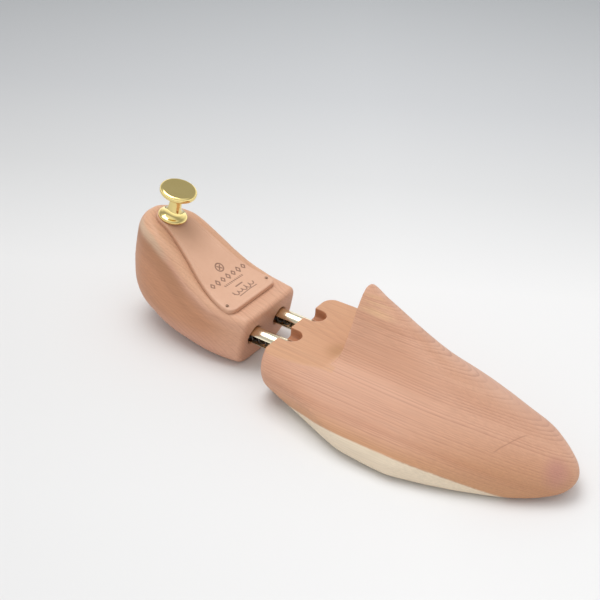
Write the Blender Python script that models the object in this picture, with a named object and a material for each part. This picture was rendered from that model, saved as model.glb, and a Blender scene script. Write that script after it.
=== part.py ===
"""A sprung shoe tree for a right shoe: a cedar forepart and a cedar heel block on two brass tubes.

The frame has +X towards the toe, +Y towards the inner (medial) side of the foot and +Z up.
The origin is at the middle of the underside. The rest pose is the tree fully extended: two springs
inside the tubes push the blocks apart, and the heel block slides along +X to close the gap.
"""

import math

import bmesh
import bpy
from mathutils import Matrix, Vector

MM = 0.001

# ---- driving dimensions; lengths along X are measured from the back of the heel -------------------
LENGTH = 285 * MM               # heel back to toe tip, fully extended
LATERAL_REACH = 55.6 * MM       # widest point on the outer side, from the tubes' centre plane
MEDIAL_REACH = 42.1 * MM        # widest point on the inner side, from the tubes' centre plane
HEEL_FRONT = 94 * MM            # front face of the heel block
FOREPART_BACK = 112 * MM        # back face of the forepart
WALL_X = 151 * MM               # upright face behind the instep peak
WALL_FILLET = 5 * MM            # inside corner between the shelf and the upright face
SHELF_TOP = 30 * MM             # low shelf behind the instep peak
TOUCH_GAP = 0.3 * MM            # between pieces that touch

TUBE_RADIUS = 5 * MM
TUBE_WALL = 0.8 * MM
TUBE_SPACING = 25 * MM
TUBE_HEIGHT = 18.5 * MM         # tube axis above the ground
TUBE_BACK = 66 * MM             # rear end, inside the heel block
TUBE_FRONT = 158 * MM           # front end, inside the forepart
HEEL_BORE_RADIUS = 5.7 * MM
HEEL_BORE_BACK = 46 * MM        # leaves room for the tubes when the gap closes
SLOT_WIDTH = 4.5 * MM
SLOT_FRONT = 110 * MM

CROSS_PIN_X = 80 * MM
CROSS_PIN_RADIUS = 1.75 * MM
CROSS_PIN_ENDS = (-17.5 * MM, 23.5 * MM)
TUBE_PIN_X = 146 * MM
TUBE_PIN_RADIUS = 1.25 * MM
TUBE_PIN_BOTTOM = 1.5 * MM
PLUG_LENGTH = 9 * MM
SEAT_LENGTH = 5 * MM

SPRING_RADIUS = 3.2 * MM        # centre of the wire
SPRING_WIRE = 0.45 * MM
SPRING_TURNS = 13

LEATHER_BACK = 12.5 * MM
LEATHER_FRONT = 83.2 * MM
LEATHER_THICKNESS = 2.4 * MM
LEATHER_CORNER = 5 * MM
TACK_X = 77.4 * MM
TACK_Y = {"lateral": -20.8 * MM, "medial": 17.4 * MM}
TACK_HEAD_RADIUS = 0.9 * MM
TACK_LENGTH = 9 * MM

KNOB_X = 21.7 * MM
KNOB_TILT = math.radians(13)
STUD_RADIUS = 2.2 * MM
STUD_DEPTH = 22 * MM
STUD_IN_KNOB = 9 * MM

SCOOP_FRONT = 122.4 * MM
SCOOP_RADIUS = 6.1 * MM
SCOOP_SHIFT = -1.2 * MM         # the scoops' middles, outward from the tubes' axes
SCOOP_DEPTH = 6 * MM
VENT_X = 153.5 * MM
VENT_Y = 6.5 * MM
VENT_RADIUS = 6.2 * MM
VENT_TILT = math.radians(52)
VENT_DEPTH = 5 * MM

# ---- derived values ---------------------------------------------------------------------------
X_SHIFT = -LENGTH / 2                                   # heel back in the row frame
Y_SHIFT = (LATERAL_REACH - MEDIAL_REACH) / 2            # the tubes' centre plane in the row frame
TUBES = {"lateral": -TUBE_SPACING / 2, "medial": TUBE_SPACING / 2}


# ---- materials --------------------------------------------------------------------------------
def material(name, colour, roughness, metallic=0.0):
    mat = bpy.data.materials.new(name)
    mat.use_nodes = True
    shader = mat.node_tree.nodes["Principled BSDF"]
    shader.inputs["Base Color"].default_value = (*colour, 1)
    shader.inputs["Roughness"].default_value = roughness
    shader.inputs["Metallic"].default_value = metallic
    return mat


# ---- shapes -----------------------------------------------------------------------------------
def curve(points, x):
    """A smooth value at x through (x, value) points, by a cubic with clipped slopes."""
    xs = [p[0] for p in points]
    vs = [p[1] for p in points]
    if x <= xs[0]:
        return vs[0]
    if x >= xs[-1]:
        return vs[-1]
    gaps = [b - a for a, b in zip(xs, xs[1:])]
    rises = [(b - a) / g for a, b, g in zip(vs, vs[1:], gaps)]
    slopes = [rises[0]]
    for before, after in zip(rises, rises[1:]):
        slopes.append(0 if before * after <= 0 else 2 * before * after / (before + after))
    slopes.append(rises[-1])
    i = max(k for k, start in enumerate(xs) if start <= x)
    i = min(i, len(gaps) - 1)
    t = (x - xs[i]) / gaps[i]
    return ((2 * t**3 - 3 * t**2 + 1) * vs[i] + (t**3 - 2 * t**2 + t) * gaps[i] * slopes[i]
            + (3 * t**2 - 2 * t**3) * vs[i + 1] + (t**3 - t**2) * gaps[i] * slopes[i + 1])


def from_tip(points, x):
    """Like curve, but spaced by the root of the distance to the toe tip, so the tip is round."""
    length = LENGTH / MM
    spaced = sorted((math.sqrt(length - px), value) for px, value in points)
    return curve(spaced, math.sqrt(max(length - x, 0)))


def from_heel(points, x):
    """Like curve, but spaced by the root of the distance to the heel's back, so that is round."""
    spaced = [(math.sqrt(px), value) for px, value in points]
    return curve(spaced, math.sqrt(max(x, 0)))


def arc(centre, radius, start, end, steps):
    """Points on an arc in a plane, both ends included, angles in degrees."""
    points = []
    for i in range(steps + 1):
        angle = math.radians(start + (end - start) * i / steps)
        points.append((centre[0] + radius * math.cos(angle), centre[1] + radius * math.sin(angle)))
    return points


def power(value, exponent):
    return math.copysign(abs(value) ** exponent, value)


def loft(name, rings, mat, smooth=True, pole_start=None, pole_end=None):
    """A closed solid through rings of equally many points, in mm from the heel's back."""
    mesh = bmesh.new()
    offset = Vector((X_SHIFT, Y_SHIFT, 0))
    rows = [[mesh.verts.new(Vector(p) * MM + offset) for p in ring] for ring in rings]
    count = len(rows[0])
    for row, following in zip(rows, rows[1:]):
        for i in range(count):
            j = (i + 1) % count
            mesh.faces.new((row[i], row[j], following[j], following[i]))
    for row, pole in ((rows[0], pole_start), (rows[-1], pole_end)):
        if pole is None:
            mesh.faces.new(row)
            continue
        tip = mesh.verts.new(Vector(pole) * MM + offset)
        for i in range(count):
            mesh.faces.new((row[i], row[(i + 1) % count], tip))
    return finish(name, mesh, mat, smooth)


def finish(name, mesh, mat, smooth=True):
    bmesh.ops.recalc_face_normals(mesh, faces=mesh.faces)
    data = bpy.data.meshes.new(name)
    mesh.to_mesh(data)
    mesh.free()
    obj = bpy.data.objects.new(name, data)
    bpy.context.collection.objects.link(obj)
    if mat is not None:
        data.materials.append(mat)
    if smooth:
        data.shade_smooth()
        data.set_sharp_from_angle(angle=math.radians(35))
    return obj


def turned(name, profile, mat, steps=24, hollow=False):
    """A solid turned about Z from (radius, height) points in metres, bottom to top.

    A hollow one is turned from a closed outline: its last point joins its first.
    """
    mesh = bmesh.new()
    rows = []
    angles = [2 * math.pi * (i + 0.5) / steps for i in range(steps)]
    for radius, height in profile:
        if radius == 0:
            rows.append([mesh.verts.new((0, 0, height))])
            continue
        ring = [(radius * math.cos(a), radius * math.sin(a), height) for a in angles]
        rows.append([mesh.verts.new(p) for p in ring])
    following_rows = rows[1:] + rows[:1] if hollow else rows[1:]
    for row, following in zip(rows, following_rows):
        for i in range(steps):
            j = (i + 1) % steps
            if len(row) == 1:
                mesh.faces.new((row[0], following[j], following[i]))
            elif len(following) == 1:
                mesh.faces.new((row[i], row[j], following[0]))
            else:
                mesh.faces.new((row[i], row[j], following[j], following[i]))
    for row in (rows[0], rows[-1]):
        if len(row) > 1 and not hollow:
            mesh.faces.new(row)
    return finish(name, mesh, mat)


def rod(name, radius, start, end, mat, steps=24, inner=0.0):
    """A plain cylinder, or a pipe, between two points in metres from the heel's back."""
    offset = Vector((X_SHIFT, Y_SHIFT, 0))
    first = Vector(start) + offset
    last = Vector(end) + offset
    length = (last - first).length
    if inner:
        obj = turned(name, [(radius, 0), (radius, length), (inner, length), (inner, 0)], mat, steps, True)
    else:
        obj = turned(name, [(radius, 0), (radius, length)], mat, steps)
    turn = (last - first).normalized().to_track_quat("Z", "Y").to_matrix().to_4x4()
    obj.matrix_world = Matrix.Translation(first) @ turn
    return obj


def cut(obj, cutter, operation="DIFFERENCE"):
    modifier = obj.modifiers.new(cutter.name, "BOOLEAN")
    modifier.operation = operation
    modifier.object = cutter
    cutter.hide_render = True
    cutter.display_type = "WIRE"


# ---- the forepart -----------------------------------------------------------------------------
# Each list holds (distance from the heel's back, value), in mm.
FOREPART_HALF_WIDTH = [(112, 36.6), (125, 38.3), (140, 41), (150, 43.4), (160, 45.8), (176, 48.4),
                       (200, 48.8), (214, 46), (230, 40.9), (245, 34.8), (260, 27.8), (269, 21.8),
                       (276, 15.8), (281, 10.6), (284, 5.2), (285, 0)]
FOREPART_CENTRE = [(112, -4), (125, -4.8), (140, -5.2), (150, -5.6), (160, -6.4), (176, -7), (200, -6.6),
                   (214, -6), (230, -5.6), (245, -5.2), (260, -5), (272, -5.6), (285, -7)]
FOREPART_WIDEST_HEIGHT = [(112, 20), (150, 17), (175, 11.5), (200, 9), (240, 8.5), (275, 9), (285, 10)]
FOREPART_BODY_TOP = [(112, 39), (130, 35.5), (150, 32.6), (178, 34.5), (203, 33.5), (228, 30.5), (253, 26),
                     (265, 23), (275, 19.6), (282, 15.4), (285, 10)]
FOREPART_SOLE = [(112, 8), (125, 4.4), (140, 1.2), (152, 0), (240, 0), (255, 0.4), (268, 1.6), (277, 3.4),
                 (283, 6.2), (285, 10)]
RIDGE_HEIGHT = [(112, 36), (151, 35.6), (160, 30.8), (170, 25.4), (180, 20), (195, 13.8), (210, 9.2),
                (225, 5.6), (240, 2.8), (255, 1), (270, 0), (285, 0)]
RIDGE_CENTRE = [(112, 5.2), (151, 5.2), (178, 4), (203, 0), (228, -3), (285, -6)]
RIDGE_WIDTH_LATERAL = [(112, 18), (151, 18), (162, 17.5), (175, 17.5), (195, 20), (225, 24), (285, 25)]
RIDGE_WIDTH_MEDIAL = [(112, 21), (151, 21), (162, 22), (175, 23), (195, 25.2), (225, 26), (285, 26)]
RIDGE_POWER = 2.3
MEDIAL_TUCK = [(112, 11), (160, 12), (185, 7), (210, 3.5), (285, 2)]
LATERAL_TUCK = [(112, 5), (150, 4), (175, 2), (200, 1), (285, 1)]
BODY_POWER_MEDIAL = [(112, 4.2), (130, 3.4), (150, 2.4), (175, 1.95), (200, 1.8), (240, 1.75), (265, 2),
                     (285, 2)]
BODY_POWER_LATERAL = [(112, 2.25), (130, 2), (150, 1.75), (175, 1.5), (200, 1.5), (225, 1.75), (250, 2.1),
                      (285, 2.2)]
SOLE_POWER_MEDIAL = 3.4
SOLE_POWER_LATERAL = 5.5
SOLE_FLAT = 1.06                # how far the bottom curve is cut short into the flat sole
BACK_CORNER = 7                 # plan radius of the forepart's back corners, mm
RING = 48


def forepart_ring(x):
    half = from_tip(FOREPART_HALF_WIDTH, x)
    into = BACK_CORNER - (x - FOREPART_BACK / MM)
    if into > 0:
        half -= BACK_CORNER - math.sqrt(BACK_CORNER**2 - into**2)
    centre = from_tip(FOREPART_CENTRE, x)
    widest = from_tip(FOREPART_WIDEST_HEIGHT, x)
    body = from_tip(FOREPART_BODY_TOP, x) - widest
    sole = widest - from_tip(FOREPART_SOLE, x)
    ridge = from_tip(RIDGE_HEIGHT, x)
    ridge_y = from_tip(RIDGE_CENTRE, x)
    ridge_widths = (from_tip(RIDGE_WIDTH_MEDIAL, x), from_tip(RIDGE_WIDTH_LATERAL, x))
    body_powers = (from_tip(BODY_POWER_MEDIAL, x), from_tip(BODY_POWER_LATERAL, x))
    tucks = (from_tip(MEDIAL_TUCK, x), from_tip(LATERAL_TUCK, x))
    ring = []
    for i in range(RING):
        angle = 2 * math.pi * i / RING
        side = math.cos(angle)
        rise = math.sin(angle)
        lateral = side < 0
        if rise >= 0:
            exponent = 2 / body_powers[lateral]
            y = centre + half * power(side, exponent)
            away = abs(y - ridge_y) / ridge_widths[y < ridge_y]
            z = widest + body * rise**exponent + ridge * math.exp(-(away**RIDGE_POWER)) * rise
        else:
            exponent = 2 / (SOLE_POWER_LATERAL if lateral else SOLE_POWER_MEDIAL)
            drop = (-rise) ** exponent
            y = centre + (half - tucks[lateral] * drop**1.5) * power(side, exponent)
            z = widest - sole * min(1, SOLE_FLAT * drop)
        ring.append((x, y, z))
    return ring


def make_forepart(cedar):
    length = LENGTH / MM
    back = FOREPART_BACK / MM
    stations = [back, back + 0.6, back + 2, back + 4.2, back + BACK_CORNER]
    roots = math.sqrt(length - back - BACK_CORNER)
    steps = 27
    stations += [length - (roots * (1 - i / steps)) ** 2 for i in range(1, steps)]
    tip_height = from_tip(FOREPART_BODY_TOP, length)
    tip = (length, from_tip(FOREPART_CENTRE, length), tip_height)
    block = loft("forepart_block", [forepart_ring(x) for x in stations], cedar, pole_end=tip)

    wall = WALL_X / MM
    shelf = SHELF_TOP / MM
    fillet = WALL_FILLET / MM
    profile = [(back - 20, shelf)]
    profile += arc((wall - fillet, shelf + fillet), fillet, -90, 0, 5)
    profile += [(wall, 90), (back - 20, 90)]
    step = loft("cutter_step", [[(x, side, z) for x, z in profile] for side in (-70, 70)], None)
    cut(block, step)

    for side, y in TUBES.items():
        bore_end = TUBE_FRONT + TOUCH_GAP
        cut(block, rod(f"cutter_forepart_bore_{side}", TUBE_RADIUS + TOUCH_GAP,
                       (FOREPART_BACK - 5 * MM, y, TUBE_HEIGHT), (bore_end, y, TUBE_HEIGHT), None))
        cut(block, scoop_cutter(side, y + SCOOP_SHIFT))
        cut(block, rod(f"cutter_tube_pin_{side}", TUBE_PIN_RADIUS + TOUCH_GAP, (TUBE_PIN_X, y, -5 * MM),
                       (TUBE_PIN_X, y, TUBE_HEIGHT + TUBE_RADIUS + 1 * MM), None, 12))
    foot = Vector((VENT_X, VENT_Y, SHELF_TOP))
    along = Vector((math.sin(VENT_TILT), 0, -math.cos(VENT_TILT)))
    cut(block, rod("cutter_vent", VENT_RADIUS, foot - along * 30 * MM, foot + along * VENT_DEPTH, None, 28))
    return block


def scoop_cutter(side, y):
    """A groove with a round bottom and a round front end, open at the forepart's back face."""
    radius = SCOOP_RADIUS / MM
    centre = SCOOP_FRONT / MM - radius
    bottom = (SHELF_TOP - SCOOP_DEPTH) / MM
    levels = [(0, 0.8), (0.35, 0.94), (1, 1), (SCOOP_DEPTH / MM + 6, 1)]
    rings = []
    for rise, share in levels:
        r = radius * share
        outline = [(centre + dx, dy) for dx, dy in arc((0, 0), r, -90, 90, 12)]
        outline += [(FOREPART_BACK / MM - 5, r), (FOREPART_BACK / MM - 5, -r)]
        rings.append([(px, py + y / MM, bottom + rise) for px, py in outline])
    return loft(f"cutter_scoop_{side}", rings, None)


# ---- the heel block ---------------------------------------------------------------------------
HEEL_TOP = [(0, 41), (0.6, 47.3), (1.8, 54), (3.5, 60.2), (5.5, 64), (8, 65.2), (10.5, 65.1), (13, 64.5),
            (18, 63.2), (23, 61.9), (29, 59.2), (36, 55), (44, 49.4), (52, 43.6), (60, 38.7), (68, 35.5),
            (76, 33.8), (84, 33.3), (94, 33.2)]
HEEL_BOTTOM = [(0, 41), (0.6, 33), (1.8, 26.5), (4, 20), (8, 13), (13, 8.3), (20, 4.4), (28, 1.8), (36, 0.5),
               (43, 0), (94, 0)]
HEEL_HALF_MEDIAL = [(0, 0), (1, 6.6), (3, 11.4), (6, 15.8), (10, 19.4), (16, 23), (24, 26), (36, 28.4),
                    (50, 29.4), (65, 29.6), (80, 28.6), (94, 26.2)]
HEEL_HALF_LATERAL = [(0, 0), (1, 6), (3, 10.4), (6, 14.2), (10, 17.8), (16, 21.8), (24, 25.2), (36, 28),
                     (50, 29), (65, 28.8), (80, 27), (94, 24.2)]
HEEL_TOP_MEDIAL = [(0, 0), (1, 3.6), (3, 6.8), (6, 10), (10, 13.6), (16, 17), (24, 19.2), (36, 21),
                   (48, 23.4), (60, 26.2), (71, 27.6), (80, 27.2), (94, 25.4)]
HEEL_TOP_LATERAL = [(0, 0), (1, 3), (3, 5.6), (6, 8.8), (10, 12.6), (16, 16.4), (24, 18.6), (36, 20.6),
                    (48, 22.8), (62, 24.4), (80, 24.5), (94, 23.2)]
HEEL_FOOT_MEDIAL = [(0, 26), (12, 26), (24, 26), (52, 26), (76, 23.5), (94, 19)]
HEEL_FOOT_LATERAL = [(0, 24), (12, 25), (28, 24.5), (44, 21), (62, 15.5), (78, 12), (94, 10)]
HEEL_MEDIAL = (HEEL_HALF_MEDIAL, HEEL_TOP_MEDIAL, HEEL_FOOT_MEDIAL)
HEEL_LATERAL = (HEEL_HALF_LATERAL, HEEL_TOP_LATERAL, HEEL_FOOT_LATERAL)
HEEL_TOP_ROUND = [(0, 8), (8, 8), (13, 7), (18, 5.8), (26, 4.5), (94, 4.5)]
HEEL_BULGE = 0.42               # share of the height at which the heel is widest
HEEL_FRONT_ROUND = 3.2          # rounding of the front face's rim, mm
HEEL_FRONT_RAKE = 0.17          # how far the front face falls back per mm of height
RAKE_START = 50                 # where the rake begins, mm from the heel's back


def heel_side(x, inset, lists):
    """Half of a section of the heel, from its top centre out and down to its bottom centre."""
    top = from_heel(HEEL_TOP, x) - inset
    bottom = from_heel(HEEL_BOTTOM, x) + inset
    height = top - bottom
    widest = from_heel(lists[0], x) - inset
    narrowest = from_heel(lists[1], x) - inset
    top_radius = min(curve(HEEL_TOP_ROUND, x), 0.9 * narrowest, 0.3 * height)
    foot_radius = min(curve(lists[2], x), 0.96 * widest, 0.55 * height)

    def width(z):
        share = (z - bottom) / height
        if share < HEEL_BULGE:
            return widest
        return widest - (widest - narrowest) * ((share - HEEL_BULGE) / (1 - HEEL_BULGE)) ** 1.4

    side = []
    for i in range(5):
        side.append(((narrowest - top_radius) * (i / 5), top))
    for dy, dz in arc((0, 0), top_radius, 90, 0, 5):
        z = top - top_radius + dz
        side.append((width(z) - top_radius + dy if dz > 0 else width(z), z))
    low = bottom + foot_radius
    high = top - top_radius
    for i in range(1, 6):
        z = high + (low - high) * i / 6
        side.append((width(z), z))
    for dy, dz in arc((0, 0), foot_radius, 0, -90, 8):
        z = low + dz
        side.append((min(width(low), widest) - foot_radius + dy, z))
    for i in range(1, 3):
        side.append(((widest - foot_radius) * (1 - i / 3), bottom))
    side.append((0, bottom))
    return side


def heel_ring(x, inset=0.0):
    medial = heel_side(x, inset, HEEL_MEDIAL)
    lateral = heel_side(x, inset, HEEL_LATERAL)
    outline = medial + [(-y, z) for y, z in reversed(lateral[1:-1])]
    rake = HEEL_FRONT_RAKE * (max(0, x - RAKE_START) / (HEEL_FRONT / MM - RAKE_START)) ** 2
    top = from_heel(HEEL_TOP, x)
    return [(x - rake * (top - z), y, z) for y, z in outline]


def make_heel(cedar):
    front = HEEL_FRONT / MM
    stations = [0.25, 1, 2.2, 4, 6.5, 10, 14, 18.5, 23, 28, 33, 38, 43, 48, 53, 58, 63, 68, 74, 80, 86]
    rings = [heel_ring(x) for x in stations]
    for dx, dz in arc((0, 0), HEEL_FRONT_ROUND, 90, 0, 4):
        rings.append(heel_ring(front - HEEL_FRONT_ROUND + dx, HEEL_FRONT_ROUND - dz))
    block = loft("heel_block", rings, cedar, pole_start=(0, 0, HEEL_TOP[0][1]))
    for side, y in TUBES.items():
        cut(block, rod(f"cutter_heel_bore_{side}", HEEL_BORE_RADIUS, (HEEL_BORE_BACK, y, TUBE_HEIGHT),
                       (HEEL_FRONT + 5 * MM, y, TUBE_HEIGHT), None))
    pin_start = (CROSS_PIN_X, CROSS_PIN_ENDS[0] - TOUCH_GAP, TUBE_HEIGHT)
    pin_mouth = (CROSS_PIN_X, 40 * MM, TUBE_HEIGHT)
    cut(block, rod("cutter_cross_pin", CROSS_PIN_RADIUS + TOUCH_GAP, pin_start, pin_mouth, None, 16))
    seat = knob_seat()
    hole = [(STUD_RADIUS + TOUCH_GAP, -STUD_DEPTH - TOUCH_GAP), (STUD_RADIUS + TOUCH_GAP, 10 * MM)]
    cut(block, placed(turned("cutter_stud", hole, None, 16), seat))
    for side, y in TACK_Y.items():
        tack_end = tack_point(y, -TACK_LENGTH - TOUCH_GAP)
        tack_mouth = tack_point(y, 5 * MM)
        cut(block, rod(f"cutter_heel_tack_{side}", TACK_SHANK + TOUCH_GAP, tack_end, tack_mouth, None, 12))
    return block


# ---- what sits on the heel ----------------------------------------------------------------------
LEATHER_HALF_WIDTH = [(12.5, 0), (13.5, 4), (16, 7), (20, 8.8), (26, 9.8), (34, 11.8), (44, 14.2), (54, 17),
                      (62, 19), (70, 20.7), (76, 21.5), (83.2, 21.8)]
TACK_SHANK = 0.45 * MM


def leather_half_width(x):
    spaced = [(math.sqrt(px - 12.5), value) for px, value in LEATHER_HALF_WIDTH]
    half = curve(spaced, math.sqrt(max(x - 12.5, 0)))
    corner = LEATHER_CORNER / MM
    into = corner - (LEATHER_FRONT / MM - x)
    if into > 0:
        half -= corner - math.sqrt(max(corner**2 - into**2, 0))
    return half


def leather_centre(x):
    """The pad's middle drifts towards the lateral side as it runs forward."""
    return -1.6 * max(0, x - 25) / 57


def leather_level(x, lift):
    """A point lifted off the heel's top at right angles to it."""
    slope = (from_heel(HEEL_TOP, x + 0.5) - from_heel(HEEL_TOP, x - 0.5))
    length = math.hypot(1, slope)
    return x - lift * slope / length, from_heel(HEEL_TOP, x) + lift / length


def make_leather(leather):
    gap = TOUCH_GAP / MM
    thick = LEATHER_THICKNESS / MM
    front = LEATHER_FRONT / MM
    stations = [12.8, 13.5, 15, 17.5, 21, 25, 30, 35, 40, 45, 50, 55, 60, 65, 71, 77.8, 80, 81.5, 82.6, front]
    rings = []
    for x in stations:
        half = leather_half_width(x)
        upper = leather_level(x, gap + thick)
        lower = leather_level(x, gap)
        across = [leather_centre(x) + half * (i / 3 - 1) for i in range(7)]
        over = [(upper[0], y, upper[1]) for y in across]
        under = [(lower[0], y, lower[1]) for y in reversed(across)]
        rings.append(over + under)
    pad = loft("leather_pad", rings, leather)
    seat = knob_seat()
    hole = [(STUD_RADIUS + TOUCH_GAP, -12 * MM), (STUD_RADIUS + TOUCH_GAP, 10 * MM)]
    cut(pad, placed(turned("cutter_pad_stud", hole, None, 16), seat))
    for side, y in TACK_Y.items():
        cut(pad, rod(f"cutter_pad_tack_{side}", TACK_SHANK + TOUCH_GAP, tack_point(y, -5 * MM),
                     tack_point(y, 5 * MM), None, 8))
    return pad


def tack_point(y, lift):
    """A point on a tack's axis, lifted off the leather's top."""
    x, z = leather_level(TACK_X / MM, (TOUCH_GAP + LEATHER_THICKNESS + lift) / MM)
    return (x * MM, y, z * MM)


def make_tack(side, y, steel):
    head = TACK_HEAD_RADIUS
    profile = [(0, -TACK_LENGTH), (TACK_SHANK, -TACK_LENGTH + 1.2 * MM), (TACK_SHANK, TOUCH_GAP)]
    profile += [(head, TOUCH_GAP), (head * 0.85, TOUCH_GAP + 0.25 * MM)]
    profile += [(head * 0.45, TOUCH_GAP + 0.42 * MM), (0, TOUCH_GAP + 0.48 * MM)]
    tack = turned(f"tack_{side}", profile, steel, 12)
    foot = Vector(tack_point(y, 0))
    up = (Vector(tack_point(y, 1 * MM)) - foot).normalized()
    place = Matrix.Translation(foot + Vector((X_SHIFT, Y_SHIFT, 0)))
    return placed(tack, place @ up.to_track_quat("Z", "Y").to_matrix().to_4x4())


def knob_seat():
    """The knob's frame: its base rests on the leather and its axis leans towards the toe."""
    x, z = leather_level(KNOB_X / MM, (TOUCH_GAP + LEATHER_THICKNESS) / MM)
    place = Matrix.Translation((x * MM + X_SHIFT, Y_SHIFT, z * MM + TOUCH_GAP))
    return place @ Matrix.Rotation(KNOB_TILT, 4, "Y")


def placed(obj, matrix):
    obj.matrix_world = matrix
    return obj


KNOB_PROFILE = [(8.5, 0), (8.5, 0.7), (8.0, 1.3), (6.6, 2.2), (5.0, 3.6), (4.1, 5.4), (3.7, 8), (3.6, 11),
                (3.9, 13.4), (5.2, 15), (8.4, 15.9), (10.2, 16.4), (10.7, 17.1), (10.75, 18.1), (10.4, 19),
                (9.5, 19.5), (0, 19.5)]


def make_knob(brass):
    profile = [(radius * MM, (height + 0.2) * MM) for radius, height in KNOB_PROFILE]
    knob = placed(turned("knob", profile, brass, 32), knob_seat())
    hole = [(STUD_RADIUS + TOUCH_GAP, -2 * MM), (STUD_RADIUS + TOUCH_GAP, STUD_IN_KNOB + TOUCH_GAP)]
    cut(knob, placed(turned("cutter_knob_stud", hole, None, 16), knob_seat()))
    return knob


def make_stud(steel):
    profile = [(0, -STUD_DEPTH), (STUD_RADIUS * 0.6, -STUD_DEPTH + 2 * MM)]
    profile += [(STUD_RADIUS, -STUD_DEPTH + 6 * MM), (STUD_RADIUS, STUD_IN_KNOB)]
    return placed(turned("knob_stud", profile, steel, 16), knob_seat())


# ---- the tubes and what is in them ----------------------------------------------------------------
def make_tube(side, y, brass):
    """A tube along X with a slot right through it for the cross pin, and holes for its fixing pin."""
    start = (TUBE_BACK, y, TUBE_HEIGHT)
    end = (TUBE_FRONT, y, TUBE_HEIGHT)
    tube = rod(f"guide_tube_{side}", TUBE_RADIUS, start, end, brass, inner=TUBE_RADIUS - TUBE_WALL)
    radius = SLOT_WIDTH / 2 / MM
    back = (CROSS_PIN_X - CROSS_PIN_RADIUS - TOUCH_GAP) / MM + radius
    front = SLOT_FRONT / MM - radius
    height = TUBE_HEIGHT / MM
    outline = [(px + front, pz + height) for px, pz in arc((0, 0), radius, -90, 90, 8)]
    outline += [(px + back, pz + height) for px, pz in arc((0, 0), radius, 90, 270, 8)]
    middle = y / MM
    faces = [[(px, middle + reach, pz) for px, pz in outline] for reach in (-8, 8)]
    cut(tube, loft(f"cutter_slot_{side}", faces, None))
    pin_low = (TUBE_PIN_X, y, TUBE_HEIGHT - 8 * MM)
    pin_high = (TUBE_PIN_X, y, TUBE_HEIGHT + 8 * MM)
    cut(tube, rod(f"cutter_tube_fixing_{side}", TUBE_PIN_RADIUS + TOUCH_GAP, pin_low, pin_high, None, 12))
    return tube


def make_plug(side, y, brass):
    """A short stopper in the tube's front end, held by the fixing pin, that the spring bears on."""
    start = TUBE_PIN_X - 3.5 * MM
    plug = rod(f"tube_plug_{side}", TUBE_RADIUS - TUBE_WALL - TOUCH_GAP, (start, y, TUBE_HEIGHT),
               (start + PLUG_LENGTH, y, TUBE_HEIGHT), brass, 20)
    cut(plug, rod(f"cutter_plug_{side}", TUBE_PIN_RADIUS + TOUCH_GAP, (TUBE_PIN_X, y, TUBE_HEIGHT - 8 * MM),
                  (TUBE_PIN_X, y, TUBE_HEIGHT + 8 * MM), None, 12))
    return plug


def make_seat(side, y, steel):
    """A loose cup between the cross pin and the spring."""
    start = CROSS_PIN_X + CROSS_PIN_RADIUS + TOUCH_GAP
    profile = [(3.8 * MM, 0), (3.8 * MM, 1.4 * MM), (2.2 * MM, 1.4 * MM)]
    profile += [(1.9 * MM, SEAT_LENGTH), (0, SEAT_LENGTH)]
    seat = turned(f"spring_seat_{side}", profile, steel, 20)
    place = Matrix.Translation((start + X_SHIFT, y + Y_SHIFT, TUBE_HEIGHT))
    return placed(seat, place @ Matrix.Rotation(math.pi / 2, 4, "Y"))


def make_spring(side, y, steel):
    """A compression spring: a helix of round wire from the seat's shoulder to the plug."""
    start = CROSS_PIN_X + CROSS_PIN_RADIUS + TOUCH_GAP + 1.4 * MM + SPRING_WIRE + TOUCH_GAP
    end = TUBE_PIN_X - 3.5 * MM - SPRING_WIRE - TOUCH_GAP
    steps = SPRING_TURNS * 12
    sides = 5
    mesh = bmesh.new()
    rows = []
    for i in range(steps + 1):
        share = i / steps
        angle = 2 * math.pi * SPRING_TURNS * share
        out = Vector((0, math.cos(angle), math.sin(angle)))
        centre = Vector((start + (end - start) * share, 0, 0)) + out * SPRING_RADIUS
        forward = Vector((1, 0, 0))
        row = []
        for k in range(sides):
            turn = 2 * math.pi * k / sides
            point = centre + SPRING_WIRE * (math.cos(turn) * out + math.sin(turn) * forward)
            row.append(mesh.verts.new(point + Vector((X_SHIFT, y + Y_SHIFT, TUBE_HEIGHT))))
        rows.append(row)
    for row, following in zip(rows, rows[1:]):
        for k in range(sides):
            j = (k + 1) % sides
            mesh.faces.new((row[k], row[j], following[j], following[k]))
    mesh.faces.new(rows[0])
    mesh.faces.new(rows[-1])
    return finish(f"spring_{side}", mesh, steel)


# ---- the whole tree -----------------------------------------------------------------------------
def main():
    for obj in list(bpy.data.objects):
        bpy.data.objects.remove(obj, do_unlink=True)
    cedar_front = material("cedar_forepart", (0.66, 0.37, 0.24), 0.55)
    cedar_heel = material("cedar_heel", (0.60, 0.33, 0.22), 0.55)
    leather = material("leather", (0.72, 0.43, 0.30), 0.5)
    brass = material("brass", (0.86, 0.72, 0.38), 0.15, 1.0)
    steel = material("steel", (0.55, 0.55, 0.56), 0.3, 1.0)

    make_forepart(cedar_front)
    make_heel(cedar_heel)
    make_leather(leather)
    make_knob(brass)
    make_stud(steel)
    for side, y in TACK_Y.items():
        make_tack(side, y, steel)
    rod("cross_pin", CROSS_PIN_RADIUS, (CROSS_PIN_X, CROSS_PIN_ENDS[0], TUBE_HEIGHT),
        (CROSS_PIN_X, CROSS_PIN_ENDS[1], TUBE_HEIGHT), steel, 16)
    for side, y in TUBES.items():
        make_tube(side, y, brass)
        make_plug(side, y, brass)
        make_seat(side, y, steel)
        make_spring(side, y, steel)
        rod(f"tube_pin_{side}", TUBE_PIN_RADIUS, (TUBE_PIN_X, y, TUBE_PIN_BOTTOM),
            (TUBE_PIN_X, y, TUBE_HEIGHT + TUBE_RADIUS + 0.5 * MM), steel, 12)


main()
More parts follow.
